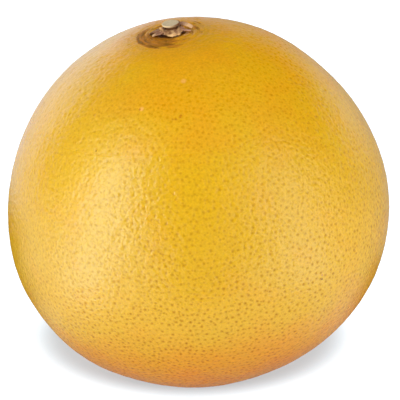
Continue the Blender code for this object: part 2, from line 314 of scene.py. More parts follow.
def gland_tree(material, sizes):
    """Geometry nodes that cover a unit sphere with cells, one oil gland sunk in each."""
    tree = bpy.data.node_groups.new("oil_glands", "GeometryNodeTree")
    add = partial(add_node, tree)
    for name, size in sizes.items():
        kind = "NodeSocketInt" if isinstance(size, int) else "NodeSocketFloat"
        tree.interface.new_socket(name, in_out="INPUT", socket_type=kind)
    tree.interface.new_socket("Rind", in_out="OUTPUT", socket_type="NodeSocketGeometry")
    given = add("NodeGroupInput", output=None)

    # Gland places, at their spacing, then the cell round each
    ball = add("GeometryNodeMeshIcoSphere", {"Radius": 1.0, "Subdivisions": 6})
    place = add("GeometryNodeInputPosition")
    height = add("SeparateXYZ", (place,), output="Z")
    edge = add("Math", (given["Stem zone"],), "COSINE")
    near = add("FunctionNodeCompare", (height, edge), "GREATER_THAN", data_type="FLOAT")
    elsewhere = add("FunctionNodeBooleanMath", (near,), "NOT")
    joined = add("GeometryNodeJoinGeometry")
    for spacing, chosen, density in (
        ("Gland spacing", elsewhere, DENSITY),
        ("Stem spacing", near, STEM_DENSITY),
    ):
        feed = {"Mesh": ball, "Selection": chosen, "Distance Min": given[spacing],
                "Density Max": density, "Seed": given["Seed"]}
        cloud = add("GeometryNodeDistributePointsOnFaces", feed, distribute_method="POISSON")
        tree.links.new(cloud, joined.node.inputs[0])
    unit = add("VectorMath", (place,), "NORMALIZE")
    glands = add("GeometryNodeSetPosition", {"Geometry": joined, "Position": unit})
    hull = add("GeometryNodeTriangulate", (add("GeometryNodeConvexHull", (glands,)),))
    hull = add("GeometryNodeStoreNamedAttribute", {"Geometry": hull, "Name": "gland", "Value": unit},
               data_type="FLOAT_VECTOR", domain="POINT")
    cells = add("GeometryNodeDualMesh", (hull,))
    cells = add("GeometryNodeSetPosition", {"Geometry": cells, "Position": unit})
    draw = add("FunctionNodeRandomValue", {"Seed": given["Seed"]}, output="Value", data_type="FLOAT")
    cells = add("GeometryNodeStoreNamedAttribute",
                {"Geometry": cells, "Name": "gland_mark", "Value": draw},
                data_type="FLOAT", domain="FACE")

    # In each cell a ring, sunk with what lies inside it
    pits = add("GeometryNodeExtrudeMesh", {"Mesh": cells, "Offset Scale": 0.0, "Individual": True},
               output=None, mode="FACES")
    middle = add("GeometryNodeInputNamedAttribute", {"Name": "gland"}, data_type="FLOAT_VECTOR")
    mark = add("GeometryNodeInputNamedAttribute", {"Name": "gland_mark"}, data_type="FLOAT")
    outward = add("VectorMath", (place, middle), "SUBTRACT")
    reach = add("VectorMath", (outward,), "LENGTH", output="Value")
    share = add("MapRange", (mark, 0.0, 1.0, 0.75, 1.15))
    wanted = add("Math", (given["Gland radius"], share), "MULTIPLY")
    most = add("Math", (reach, RING_SHARE), "MULTIPLY")
    ring = add("Math", (wanted, most), "MINIMUM")
    facing = add("VectorMath", (outward,), "NORMALIZE")
    step = add("VectorMath", {0: facing, "Scale": ring}, "SCALE")
    rim = add("VectorMath", (middle, step), "ADD")
    rim = add("VectorMath", (rim,), "NORMALIZE")
    rind = add("GeometryNodeSetPosition",
               {"Geometry": pits["Mesh"], "Selection": pits["Top"], "Position": rim})
    sunk = add("MapRange", (mark, 0.0, 1.0, 0.25, 1.0))
    for factor in (given["Gland depth"], pits["Top"]):
        sunk = add("Math", (sunk, factor), "MULTIPLY")

    # Lumps between the glands
    fineness = add("Math", (1.0, given["Lump width"]), "DIVIDE")
    lumps = add("TexNoise", {"Vector": place, "Scale": fineness, "Detail": 1.0})
    lumps = add("Math", (lumps, 0.5), "SUBTRACT")
    lumps = add("Math", (lumps, given["Lump height"]), "MULTIPLY")
    sunk = add("Math", (lumps, LUMP_SWING, sunk), "MULTIPLY_ADD")
    rind = add("GeometryNodeStoreNamedAttribute", {"Geometry": rind, "Name": "sink", "Value": sunk},
               data_type="FLOAT", domain="POINT")
    for kind in ("Triangulate", "SetShadeSmooth", "RealizeInstances"):
        rind = add("GeometryNode" + kind, (rind,))
    rind = add("GeometryNodeSetMaterial", {0: rind, "Material": material})
    add("NodeGroupOutput", (rind,), output=None)
    return tree


def run_tree(tree, values, name):
    """Evaluate a geometry node tree on its own and return the plain mesh it makes."""
    holder = put(name, bpy.data.meshes.new(name + "_seedling"))
    grower = holder.modifiers.new("grow", "NODES")
    grower.node_group = tree
    for item in tree.interface.items_tree:
        if item.in_out == "INPUT":
            grower[item.identifier] = values[item.name]
    mesh = plain_mesh(holder)
    mesh.name = name
    return mesh


def plain_mesh(holder):
    """What an object's modifiers make of it, as a mesh of its own. The object is taken away."""
    bpy.context.view_layer.update()
    graph = bpy.context.evaluated_depsgraph_get()
    mesh = bpy.data.meshes.new_from_object(holder.evaluated_get(graph))
    holder.modifiers.clear()
    bpy.data.objects.remove(holder)
    return mesh


def show_piece(name, mesh, node):
    """Put a finished mesh in the scene in place of a solid, riding on the fruit's body."""
    piece = put(name, mesh)
    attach(piece, BODY)
    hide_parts(node)


FAR = 0.1  # metres: the lower half of the fruit counts as this far from the stem end
RUSSET_SIDE = (-0.86, -0.51, 0.0)  # the side of the calyx that most of the russet lies on

# Small blemishes of the skin on its front: place and radius in millimetres, colour and strength
BLEMISHES = (
    ((-2.0, -26.8, 88.1), 0.60, "#8A5604", 0.55),
    ((-3.3, -24.0, 89.7), 1.00, "#F0B078", 0.30),
    ((-13.8, -29.0, 84.0), 0.80, "#F2B070", 0.42),
    ((-14.3, -29.0, 83.9), 0.45, "#A0500E", 0.60),
    ((-3.9, -32.6, 83.6), 0.45, "#9A4608", 0.60),
    ((-4.1, -32.9, 83.1), 0.45, "#9A4608", 0.60),
    ((-5.2, -33.3, 82.8), 0.50, "#9A4608", 0.50),
    ((-6.0, -33.2, 82.8), 0.45, "#9A4608", 0.40),
    ((-25.3, -32.4, 74.0), 0.34, "#6A480A", 0.75),
    ((31.8, -37.9, 41.4), 0.34, "#5A3408", 0.85),
    ((31.8, -38.1, 42.6), 0.42, "#A8603A", 0.60),
)


def rind_material(form, rind):
    """Waxed citrus rind, grown: a half-gloss skin over bright flavedo, dotted with darker oil glands."""
    material, tree, shader = start_material("waxed_citrus_rind")
    add = partial(add_node, tree)
    place = add("TexCoord", output="Object")
    own = own_frame(form, add, (0.0, 0.0, middle_height(form)))
    across, back, height = add("SeparateXYZ", (own,), output=None)
    flat = add("CombineXYZ", (across, back))
    from_axis = add("VectorMath", (flat,), "LENGTH", output="Value")
    below = add("Math", (height, 0.0), "LESS_THAN")
    from_stem = add("Math", (below, FAR, from_axis), "MULTIPLY_ADD")

    # Soft edges between parts of the skin: from and to in millimetres, then what each side gets
    part = {}
    for name, source, start, end, first, last in (
        ("clear", from_stem, 9.0, 34.0, 0.05, 1.0),  # the dots are lost round the stem end,
        ("low", height, 36.0, -20.0, 0.70, 1.4),     # strongest on the lower half
        ("left", across, -6.0, -26.0, 0.0, -0.35),   # and fainter on the left
        ("waist", height, -10.0, 2.0, 0.0, 1.0),     # above the waist
        ("crowd", height, 16.0, -14.0, 0.62, 1.0),   # small glands show most below the waist
        ("dull", from_stem, 50.0, 26.0, 0.0, 1.0),   # the wax is duller towards the stem end
        ("right", across, -24.0, -2.0, 0.0, 1.0),
        ("upper", height, 20.0, 48.0, 0.0, 0.40),    # riper skin and painted shade: deeper orange towards the top and the bottom
        ("lower", height, -9.0, -38.0, 0.0, 1.0),
        ("band", from_stem, 4.5, 12.0, 0.69, 0.32),  # how far the russet reaches from the calyx
        ("calyx_edge_shade", from_stem, 4.0, 3.1, 0.0, 0.65),   # painted shade under the calyx's edge
    ):
        part[name] = add("MapRange", (source, start * MM, end * MM, first, last), **SMOOTH)

    # Dots of the glands: soft uneven discs about a millimetre across
    gland = add("Attribute", output="Vector", attribute_name="gland")
    mark = add("Attribute", output="Fac", attribute_name="gland_mark")
    away = add("VectorMath", (place, gland), "DISTANCE", output="Value")
    reach = add("MapRange", (mark, 0.0, 1.0, 0.48 * MM, 0.68 * MM))
    dot = add("MapRange", (away, 0.0, reach, 1.0, 0.0), **SMOOTH)
    strength = add("MapRange", (mark, 0.0, 1.0, 0.44, 0.76))
    faint = add("Math", (part["left"], part["waist"], 1.0), "MULTIPLY_ADD")
    for share in (strength, part["clear"], part["low"], faint):
        dot = add("Math", (dot, share), "MULTIPLY", use_clamp=True)
    # A second crowd of glands that lie deeper in the skin, smaller and fainter, 1.3 mm apart
    feed = {"Vector": own, "Scale": 1.0 / (1.3 * MM), "Randomness": 0.9}
    small = add("TexVoronoi", feed, output="Distance")
    small = add("MapRange", (small, 0.34, 0.06, 0.0, 0.66), **SMOOTH)
    for share in (part["crowd"], part["clear"]):
        small = add("Math", (small, share), "MULTIPLY")
    dot = add("Math", (dot, small), "MAXIMUM")

    # Riper clouds, some 8 mm across
    clouds = add("TexNoise", {"Vector": own, "Scale": 1.0 / (11.0 * MM), "Detail": 3.0})
    clouds = add("MapRange", (clouds, 0.36, 0.64, -0.18, 0.12))
    # Painted shade with the ripeness: the ends deepen the orange towards the top on the right and towards
    # the bottom
    ends = add("Math", (part["upper"], part["right"], part["lower"]), "MULTIPLY_ADD")
    ripeness_and_shade = add("Math", (clouds, ends), "ADD", use_clamp=True)
    colour = add("Mix", {0: ripeness_and_shade, 6: rind.yellow, 7: rind.orange}, **COLOURS)
    # Freckling of single cells between the glands, drawn at half a millimetre, coarser than life
    freckle = add("TexNoise", {"Vector": own, "Scale": 1.0 / (0.55 * MM), "Detail": 2.0})
    lightness = add("MapRange", (freckle, 0.3, 0.7, 0.91, 1.09))
    colour = add("HueSaturation", {"Color": colour, "Value": lightness})
    colour = add("Mix", {0: dot, 6: colour, 7: rind.gland}, **COLOURS, blend_type="MULTIPLY")

    # Corky russet round the calyx: torn patches drawn out along its folds, most of it on the left
    outward = add("VectorMath", (flat,), "NORMALIZE")
    rise = add("CombineXYZ", {"Z": from_stem})
    noises = []
    for stretch, grain, detail, roughness in ((2.4, 1.3, 5.0, 0.65), (1.5, 0.7, 3.0, 0.5)):
        ringed = add("VectorMath", {0: outward, "Scale": stretch * MM}, "SCALE")
        ringed = add("VectorMath", (ringed, rise), "ADD")
        feed = {"Vector": ringed, "Scale": 1.0 / (grain * MM), "Detail": detail, "Roughness": roughness}
        noises.append(add("TexNoise", feed))
    torn, streaks = noises
    side = add("VectorMath", (outward, RUSSET_SIDE), "DOT_PRODUCT", output="Value")
    sided = add("MapRange", (side, 0.1, 0.8, 0.0, 0.42))
    right = add("MapRange", (side, -0.6, -0.95, 0.0, 0.14))
    sided = add("Math", (sided, right), "ADD")
    within = add("MapRange", (from_stem, 10.2 * MM, 9.2 * MM))
    band = add("Math", (sided, within, part["band"]), "MULTIPLY_ADD")
    worn = add("Math", (band, torn), "MULTIPLY")
    worn = add("MapRange", (worn, 0.28, 0.43, 0.0, 0.84), **SMOOTH)
    haze = add("MapRange", (from_stem, 16.0 * MM, 7.0 * MM, 0.0, 0.28))
    russet = add("Math", (worn, haze), "MAXIMUM")
    streaks = add("MapRange", (streaks, 0.36, 0.64, 0.55, 1.45))
    streaks = add("Math", (sided, -0.8, streaks), "MULTIPLY_ADD")
    cork = add("HueSaturation", {"Color": rind.russet, "Value": streaks})

    # What covers the skin's own colour, from the bottom up
    # The second cover is painted shade: the skin under the calyx's edge is darkened as if in its shadow
    covers = [(russet, cork), (part["calyx_edge_shade"], rind.calyx_edge_shade)]
    for spot, size, hue, share in BLEMISHES:
        spot = tuple(coordinate * MM for coordinate in spot)
        away = add("VectorMath", (place, spot), "DISTANCE", output="Value")
        feed = (away, size * MM, 0.3 * size * MM, 0.0, share)
        covers.append((add("MapRange", feed, **SMOOTH), linear(hue)))
    for share, hue in covers:
        colour = add("Mix", {0: share, 6: colour, 7: hue}, **COLOURS)

    # Wax: half gloss, thin over the glands, duller on the russet and towards the stem end
    waxless = add("Math", (part["dull"], part["right"]), "MULTIPLY")
    shine = add("MapRange", (dot, 0.0, 1.0, 0.5, 0.20))
    shine = add("Math", (waxless, -0.42, shine), "MULTIPLY_ADD", use_clamp=True)
    rough = add("Math", (part["dull"], 0.2, russet), "MULTIPLY_ADD", use_clamp=True)
    rough = add("MapRange", (rough, 0.0, 1.0, 0.24, 0.60))

    # Peel: soft pebbles between the glands, the roughness of the russet, and a pit in each gland
    pebbles = add("TexNoise", {"Vector": own, "Scale": 1.0 / (1.1 * MM), "Detail": 3.0})
    tall = add("MapRange", (height, 8.0 * MM, 36.0 * MM, 0.32 * MM, 0.17 * MM))
    relief = add("Math", (pebbles, tall), "MULTIPLY")
    flakes = add("Math", (russet, torn), "MULTIPLY")
    for shape, tall in ((flakes, 0.20 * MM), (dot, -0.015 * MM)):
        relief = add("Math", (shape, tall, relief), "MULTIPLY_ADD")
    feed_node(tree, shader, {
        "Base Color": colour,
        "Specular IOR Level": shine,
        "Roughness": rough,
        "IOR": 1.56,
        "Subsurface Weight": 0.12,
        "Subsurface Radius": (1.0, 0.45, 0.08),
        "Subsurface Scale": 1.2 * MM,
        "Normal": add("Bump", {"Strength": 1.0, "Distance": 1.0, "Height": relief}),
    })
    return material


class GRAPEFRUIT_OT_rind(bpy.types.Operator):
    """Grow the rind with its oil glands round the fruit"""

    bl_idname = "grapefruit.rind"
    bl_label = "Rind"

    def execute(self, context):
        form = context.scene.grapefruit_form
        rind = context.scene.grapefruit_rind
        unit = form.pole_radius
        sizes = {
            "Gland spacing": rind.gland_spacing / unit,
            "Stem spacing": rind.stem_spacing / unit,
            "Stem zone": rind.stem_zone / unit,
            "Gland radius": rind.gland_radius / unit,
            "Gland depth": rind.gland_depth,
            "Lump height": rind.lump_height,
            "Lump width": rind.lump_width / unit,
            "Seed": rind.seed,
        }
        tree = gland_tree(rind_material(form, rind), sizes)
        mesh = run_tree(tree, sizes, "rind")
        sink = read(mesh.attributes["sink"].data, "value")
        places = rind_points(form, read(mesh.vertices, "co", 3), sink)
        mesh.vertices.foreach_set("co", places.ravel())
        glands = mesh.attributes["gland"].data
        middles = read(glands, "vector", 3)
        middles /= np.linalg.norm(middles, axis=1)[:, None]
        glands.foreach_set("vector", rind_points(form, middles, 0.5 * rind.gland_depth).ravel())
        mesh.update()
        show_piece("rind", mesh, "fruit")
        return {"FINISHED"}


class Sepal(NamedTuple):
    """One dried sepal, or a torn scrap of one, in millimetres in the stem end's own frame."""

    line: tuple         # its root, its middle and its tip
    width: float
    point: float = 0.5  # share of the width lost at the tip
    roll: float = 0.0   # one long edge higher, the other lower
    cup: float = 0.1    # both long edges higher than the middle
    wrap: float = 0.0   # 1 where it follows the calyx round the stalk
    stand: float = 0.0  # 90 where it stands on its long edge
    pale: float = 0.5   # 0 for dark brown, 1 for bleached
    late: float = 2.0   # larger where only the tip is bleached
    mauve: float = 0.0


SEPALS = (
    Sepal(  # broad bleached one in front
        ((0.5, -1.9, 1.60), (0.8, -2.6, 1.20), (0.9, -3.1, 0.42)), 4.9,
        point=0.05, cup=0.05, roll=0.05, wrap=0.4, pale=1.10, late=4.5),
    Sepal(  # left of it
        ((-2.0, -1.0, 1.30), (-3.5, -1.2, 0.95), (-5.1, -1.0, 0.45)), 2.9,
        point=0.50, cup=0.05, wrap=0.3, pale=0.60, late=3.5, mauve=0.3),
    Sepal(  # brown one on the left
        ((-2.0, 0.4, 1.50), (-4.0, 0.7, 0.95), (-5.9, 0.6, 0.40)), 2.2,
        point=0.55, roll=-0.10, pale=0.15),
    Sepal(  # flake that stands beside the stalk
        ((-1.9, -1.9, 1.50), (-2.5, -1.6, 2.10), (-3.2, -1.2, 2.60)), 1.3,
        point=0.45, cup=0.0, stand=75.0, pale=1.30),
    Sepal(  # behind
        ((-0.3, 1.9, 1.50), (-0.5, 3.3, 1.25), (-0.8, 4.8, 0.80)), 3.6,
        point=0.40, roll=0.10, cup=0.15, pale=0.45),
    Sepal(  # raised pinkish one on the right
        ((1.2, 2.1, 1.75), (3.4, 1.1, 1.85), (5.4, -0.2, 1.15)), 1.5,
        point=-0.10, roll=-0.10, cup=0.10, pale=1.1, mauve=0.55),
    Sepal(  # mauve one curled under it
        ((2.4, -0.7, 1.20), (3.8, -1.1, 0.85), (5.1, -1.4, 0.55)), 1.5,
        point=0.35, roll=0.10, pale=0.55, mauve=0.95),
)

BLADE_STEPS, BLADE_HALF = 12, 6  # faces along a sepal, and from its middle line to an edge
TEAR_WAVE, TEAR_DEPTH = 0.55 * MM, 0.14 * MM
TIP_ROUND = 0.15 * MM  # how far the corners of a sepal's tip draw back
EDGE_THIN, TIP_THIN = 0.45, 0.35  # share of the thickness lost there
CRUMPLE_WAVE, CRUMPLE_HEIGHT = 0.9 * MM, 0.10 * MM
CRUMPLE_PLACE = Vector((7.0, 3.0, 1.0))  # in its noise, away from where the tears are read


def sepal_shell(sepal, thickness, mesh_data, pale, mauve):
    """Add one sepal to a bmesh as a closed, slightly crumpled blade."""
    root, middle, tip = (np.array(place) * MM for place in sepal.line)
    along = Vector(tip - root).normalized()
    flat = along.cross(Vector((0.0, 0.0, 1.0))).normalized()
    across = Matrix.Rotation(math.radians(sepal.stand), 3, along) @ flat
    up, down = [], []
    for step in range(BLADE_STEPS + 1):
        share = step / BLADE_STEPS
        bend = 2.0 * share * (1.0 - share) * (2.0 * middle - 0.5 * (root + tip))
        centre = Vector((1.0 - share) ** 2 * root + bend + share**2 * tip)
        belly = 0.80 + 0.20 * math.sin(math.pi * min(1.0, 1.3 * share)) - sepal.point * share**4
        outward = Vector((centre.x, centre.y, 0.0))
        ranks = ([], [])
        for number in range(-BLADE_HALF, BLADE_HALF + 1):
            side = number / BLADE_HALF
            aside = 0.5 * (sepal.width * MM) * belly * side
            curl = sepal.wrap * aside**2 / (2.0 * outward.length_squared)
            place = centre + across * aside - outward * curl
            tear = noise.noise(place / TEAR_WAVE) * TEAR_DEPTH * share**2
            place += along * (tear - TIP_ROUND * share * side * side)
            crumple = noise.noise(place / CRUMPLE_WAVE + CRUMPLE_PLACE) * CRUMPLE_HEIGHT
            place.z += crumple + sepal.cup * MM * side * side + sepal.roll * MM * side
            thick = thickness * (1.0 - EDGE_THIN * abs(side) ** 3) * (1.0 - TIP_THIN * share)
            for rank, way in zip(ranks, (0.5, -0.5)):
                vertex = mesh_data.verts.new(place + Vector((0.0, 0.0, way * thick)))
                vertex[pale] = sepal.pale * min(1.0, 0.02 + 1.3 * share**sepal.late)
                vertex[mauve] = sepal.mauve
                rank.append(vertex)
        up.append(ranks[0])
        down.append(ranks[1])
    last = 2 * BLADE_HALF
    for low, high in zip(range(BLADE_STEPS), range(1, BLADE_STEPS + 1)):
        for left, right in zip(range(last), range(1, last + 1)):
            for face in (up, down):
                mesh_data.faces.new((
                    face[low][left], face[low][right], face[high][right], face[high][left]))
        for edge in (0, last):
            mesh_data.faces.new((up[low][edge], up[high][edge], down[high][edge], down[low][edge]))
    for end in (0, BLADE_STEPS):
        for left, right in zip(range(last), range(1, last + 1)):
            mesh_data.faces.new((up[end][left], up[end][right], down[end][right], down[end][left]))


def turned_shell(profile, sides, mesh_data, ripples):
    """Add a closed turned shell to a bmesh, from radius and height pairs that start and end on the axis.

    Each ripple round it has a depth, as a share of the radius, a count and a phase."""
    rings = []
    for radius, height in profile:
        if radius == 0.0:
            rings.append([mesh_data.verts.new((0.0, 0.0, height))] * sides)
            continue
        ring = []
        for index in range(sides):
            turn = 2.0 * math.pi * index / sides
            reach = radius
            for depth, count, phase in ripples:
                reach += radius * depth * math.sin(count * turn + phase)
            ring.append(mesh_data.verts.new((reach * math.cos(turn), reach * math.sin(turn), height)))
        rings.append(ring)
    for lower, upper in zip(rings, rings[1:]):
        for index in range(sides):
            after = (index + 1) % sides
            corners = [lower[index], lower[after], upper[after], upper[index]]
            mesh_data.faces.new(list(dict.fromkeys(corners)))
    return [vertex for ring in rings for vertex in ring]


def voxel_mesh(mesh_data, size, name):
    """Melt the closed shells of a bmesh into one skin of small even faces."""
    bmesh.ops.recalc_face_normals(mesh_data, faces=mesh_data.faces)
    rough = bpy.data.meshes.new(name)
    mesh_data.to_mesh(rough)
    mesh_data.free()
    holder = put(name, rough)
    melt = holder.modifiers.new("melt", "REMESH")
    melt.mode = "VOXEL"
    melt.voxel_size = size
    melt.use_smooth_shade = True
    return plain_mesh(holder)


NEAREST, NEAREST_SOFT = 4, 0.02 * MM


def nearest_values(mesh, vertices, values):
    """For each vertex of a mesh, the value of the nearest of some places."""
    tree = KDTree(len(vertices))
    for index, place in enumerate(vertices):
        tree.insert(place, index)
    tree.balance()
    found = []
    for vertex in mesh.vertices:
        near = tree.find_n(vertex.co, NEAREST)
        weights = [1.0 / (distance + NEAREST_SOFT) for _, _, distance in near]
        found.append(sum(w * values[n[1]] for w, n in zip(weights, near)) / sum(weights))
    return found


def roughen(mesh, shapes):
    """Move each vertex along its normal by the sum of some noises: wavelength, height, upright stretch."""
    moved = []
    for vertex in mesh.vertices:
        height = 0.0
        for wave, tall, stretch in shapes:
            place = Vector((vertex.co.x, vertex.co.y, vertex.co.z * stretch))
            height += tall * noise.noise(place / wave)
        moved.append(vertex.co + vertex.normal * height)
    for vertex, place in zip(mesh.vertices, moved):
        vertex.co = place


def stand_on_fruit(form, mesh):
    """Carry a mesh from the stem end's own frame to the standing fruit."""
    places = stem_place(form, read(mesh.vertices, "co", 3))
    mesh.vertices.foreach_set("co", places.ravel())
    mesh.update()


def sepal_material(form, calyx):
    """Dried sepal, grown and withered: matt, fibrous, bleached on top, and dark in the cracks with dirt and
    painted shade.
    """
    material, tree, shader = start_material("withered_sepal")
    add = partial(add_node, tree)
    own = own_frame(form, add, stem_place(form, [(0.0, 0.0, 0.0)])[0])
    pale, crack, tinge = (
        add("Attribute", output="Fac", attribute_name=name) for name in ("pale", "hollow", "mauve"))
    feed = {"Vector": own, "Scale": 1.0 / (1.1 * MM), "Detail": 4.0, "Roughness": 0.6}
    blotch = add("TexNoise", feed)
    blotch = add("MapRange", (blotch, 0.35, 0.65, -0.3, 0.3))
    bleach = add("Math", (pale, blotch), "ADD", use_clamp=True)
    mauve = add("TexNoise", {"Vector": own, "Scale": 1.0 / (1.6 * MM), "Detail": 2.0})
    mauve = add("MapRange", (mauve, 0.50, 0.66, 0.0, 0.18))
    mauve = add("Math", (tinge, 0.75, mauve), "MULTIPLY_ADD", use_clamp=True)
    # Dirt and painted shade: the more of a spot's rays meet the calyx, the nearer it comes to the crack
    # colour
    dirt_and_shade = add("MapRange", (crack, 0.25, 0.85, 0.0, 0.9))
    colour = calyx.dark
    for share, hue in ((bleach, calyx.pale), (mauve, calyx.mauve), (dirt_and_shade, calyx.crack)):
        colour = add("Mix", {0: share, 6: colour, 7: hue}, **COLOURS)
    # Fibres of a tenth of a millimetre, drawn at a third
    fibre = add("TexNoise", {"Vector": own, "Scale": 1.0 / (0.35 * MM), "Detail": 3.0})
    bump = add("Bump", {"Strength": 0.7, "Distance": 0.06 * MM, "Height": fibre})
    feed_node(tree, shader, {"Base Color": colour, "Roughness": 0.72, "IOR": 1.45, "Normal": bump})
    return material


def stalk_material(form, calyx):
    """Cut citrus wood, weathered: a grey beige end with fine speckles, a cream ring of bark and painted
    shade under its flared edge.
    """
    material, tree, shader = start_material("weathered_cut_stalk")
    add = partial(add_node, tree)
    own = own_frame(form, add, stem_place(form, [(0.0, 0.0, 0.0)])[0])
    across, back, height = add("SeparateXYZ", (own,), output=None)
    flat = add("CombineXYZ", (across, back))
    reach = add("VectorMath", (flat,), "LENGTH", output="Value")
    # Vessels and rays of under a tenth of a millimetre, drawn at half a millimetre
    feed = {"Vector": own, "Scale": 1.0 / (0.5 * MM), "Detail": 4.0, "Roughness": 0.6}
    speckle = add("TexNoise", feed)
    shade = add("MapRange", (speckle, 0.3, 0.7, 0.85, 1.12))
    colour = add("HueSaturation", {"Color": calyx.cut, "Value": shade})
    radius, top = calyx.stub_radius, calyx.stub_top
    bark, bleached, under = (
        add("MapRange", (source, start, end), **SMOOTH)
        for source, start, end in (
            (reach, 0.86 * radius, 0.97 * radius),
            (across, 1.9 * MM, -0.9 * MM),
            (height, top - 0.40 * MM, top - 0.85 * MM),
        )
    )
    edge = add("Mix", {0: bleached, 6: calyx.dark, 7: calyx.rim}, **COLOURS)
    # Painted shade: under its flared edge the stalk is given the dark brown
    for share, hue in ((bark, edge), (under, calyx.dark)):
        colour = add("Mix", {0: share, 6: colour, 7: hue}, **COLOURS)
    bump = add("Bump", {"Strength": 0.6, "Distance": 0.05 * MM, "Height": speckle})
    feed_node(tree, shader, {"Base Color": colour, "Roughness": 0.8, "IOR": 1.45, "Normal": bump})
    return material


GOLDEN_TURN = 2.399963  # radians, from one ray to the next
RAY_START = 0.03 * MM  # over the skin


def hollow_values(mesh, reach, rays):
    """How deep in a crack each vertex lies: the share of rays from it that meet the mesh within reach."""
    surface = BVHTree.FromPolygons(
        [vertex.co for vertex in mesh.vertices], [polygon.vertices for polygon in mesh.polygons])
    spread = []
    for index in range(rays):
        height = 1.0 - (index + 0.5) / rays
        ring = math.sqrt(1.0 - height * height)
        turn = GOLDEN_TURN * index
        spread.append(Vector((ring * math.cos(turn), ring * math.sin(turn), height)))
    found = []
    for vertex in mesh.vertices:
        turn = vertex.normal.to_track_quat("Z", "Y")
        start = vertex.co + vertex.normal * RAY_START
        met = sum(surface.ray_cast(start, turn @ ray, reach)[0] is not None for ray in spread)
        found.append(met / rays)
    return found


def store(mesh, name, values):
    """Keep one number for each vertex of a mesh."""
    mesh.attributes.new(name, "FLOAT", "POINT").data.foreach_set("value", values)


CUP_RIPPLES = ((0.05, 9.0, 0.0), (0.03, 17.0, 1.0))
STALK_RIPPLES = ((0.030, 3.0, 0.8), (0.015, 7.0, 0.0))
CUP_PALE, CUP_MAUVE = 0.32, 0.1


class GRAPEFRUIT_OT_calyx(bpy.types.Operator):
    """Form the dried calyx with its torn sepals"""

    bl_idname = "grapefruit.calyx"
    bl_label = "Calyx"

    def execute(self, context):
        form = context.scene.grapefruit_form
        calyx = context.scene.grapefruit_calyx
        mesh_data = bmesh.new()
        pale = mesh_data.verts.layers.float.new("pale")
        mauve = mesh_data.verts.layers.float.new("mauve")
        top, reach = calyx.cup_top, calyx.cup_radius
        profile = (  # under the cup, up its side, over its lip and down inside
            (0.0, 0.35 * MM), (0.6 * reach, 0.45 * MM), (reach, 0.75 * MM),
            (1.04 * reach, 0.60 * top), (0.98 * reach, 0.85 * top), (0.85 * reach, top),
            (0.70 * reach, 1.06 * top), (0.55 * reach, 1.02 * top), (0.52 * reach, 0.80 * top),
            (0.0, 0.74 * top),
        )
        for vertex in turned_shell(profile, 64, mesh_data, CUP_RIPPLES):
            vertex[pale] = CUP_PALE
            vertex[mauve] = CUP_MAUVE
        for sepal in SEPALS:
            sepal_shell(sepal, calyx.blade, mesh_data, pale, mauve)
        vertices = [vertex.co.copy() for vertex in mesh_data.verts]
        marks = {"pale": [vertex[pale] for vertex in mesh_data.verts]}
        marks["mauve"] = [vertex[mauve] for vertex in mesh_data.verts]
        mesh = voxel_mesh(mesh_data, calyx.voxel, "dried_calyx")
        for name, values in marks.items():
            store(mesh, name, nearest_values(mesh, vertices, values))
        roughen(mesh, ((0.7 * MM, 0.10 * MM, 1.0), (0.28 * MM, 0.05 * MM, 0.5)))
        # The hollow values give the dirt and painted shade in the calyx's cracks and under its sepals
        store(mesh, "hollow", hollow_values(mesh, reach=1.2 * MM, rays=12))
        stand_on_fruit(form, mesh)
        mesh.materials.append(sepal_material(form, calyx))
        show_piece("dried_calyx", mesh, "calyx")
        return {"FINISHED"}


class GRAPEFRUIT_OT_stalk(bpy.types.Operator):
    """Form the clipped end of the stalk"""

    bl_idname = "grapefruit.stalk"
    bl_label = "Stalk"

    def execute(self, context):
        form = context.scene.grapefruit_form
        calyx = context.scene.grapefruit_calyx
        top, reach = calyx.stub_top, calyx.stub_radius
        mesh_data = bmesh.new()
        profile = (  # under the stalk, up it, round the flared edge and in over the cut
            (0.0, 1.15 * MM), (1.35 * MM, 1.15 * MM), (1.50 * MM, 1.40 * MM),
            (1.60 * MM, top - 1.00 * MM), (1.90 * MM, top - 0.60 * MM),
            (0.97 * reach, top - 0.40 * MM), (1.01 * reach, top - 0.22 * MM),
            (0.98 * reach, top - 0.04 * MM), (0.92 * reach, top), (0.80 * reach, top - 0.08 * MM),
            (0.40 * reach, top - 0.12 * MM), (0.0, top - 0.05 * MM),
        )
        turned_shell(profile, 72, mesh_data, STALK_RIPPLES)
        mesh = voxel_mesh(mesh_data, calyx.voxel, "clipped_stalk")
        roughen(mesh, ((0.9 * MM, 0.08 * MM, 1.0), (0.3 * MM, 0.04 * MM, 1.0)))
        stand_on_fruit(form, mesh)
        mesh.materials.append(stalk_material(form, calyx))
        show_piece("clipped_stalk", mesh, "stem_stub")
        return {"FINISHED"}


class GRAPEFRUIT_OT_stage(bpy.types.Operator):
    """Lay the pale floor and set the soft lights and the camera"""

    bl_idname = "grapefruit.stage"
    bl_label = "Stage"

    def execute(self, context):
        studio = context.scene.grapefruit_studio
        make_floor(studio)
        make_lights(studio)
        make_world(studio)
        make_camera(context.scene.grapefruit_form, studio)
        context.scene.view_settings.view_transform = "Standard"
        context.scene.view_settings.look = "None"
        return {"FINISHED"}


# Tints of the light, as linear red, green and blue
WHITE = (1.0, 1.0, 1.0)
COOL = (0.64, 1.02, 1.17)
DUSKY = (0.75, 0.80, 1.00)
WARM = (1.0, 1.0, 0.50)
BLUSH = (1.0, 0.84, 0.60)

SECTOR_SOFT = 0.35


def sector(outer, inner):
    """The two soft edges of a stretch of turns, the outer one farther from the front."""
    way = math.copysign(SECTOR_SOFT, inner - outer)
    return ("A", outer, outer + way), ("A", inner, inner - way)


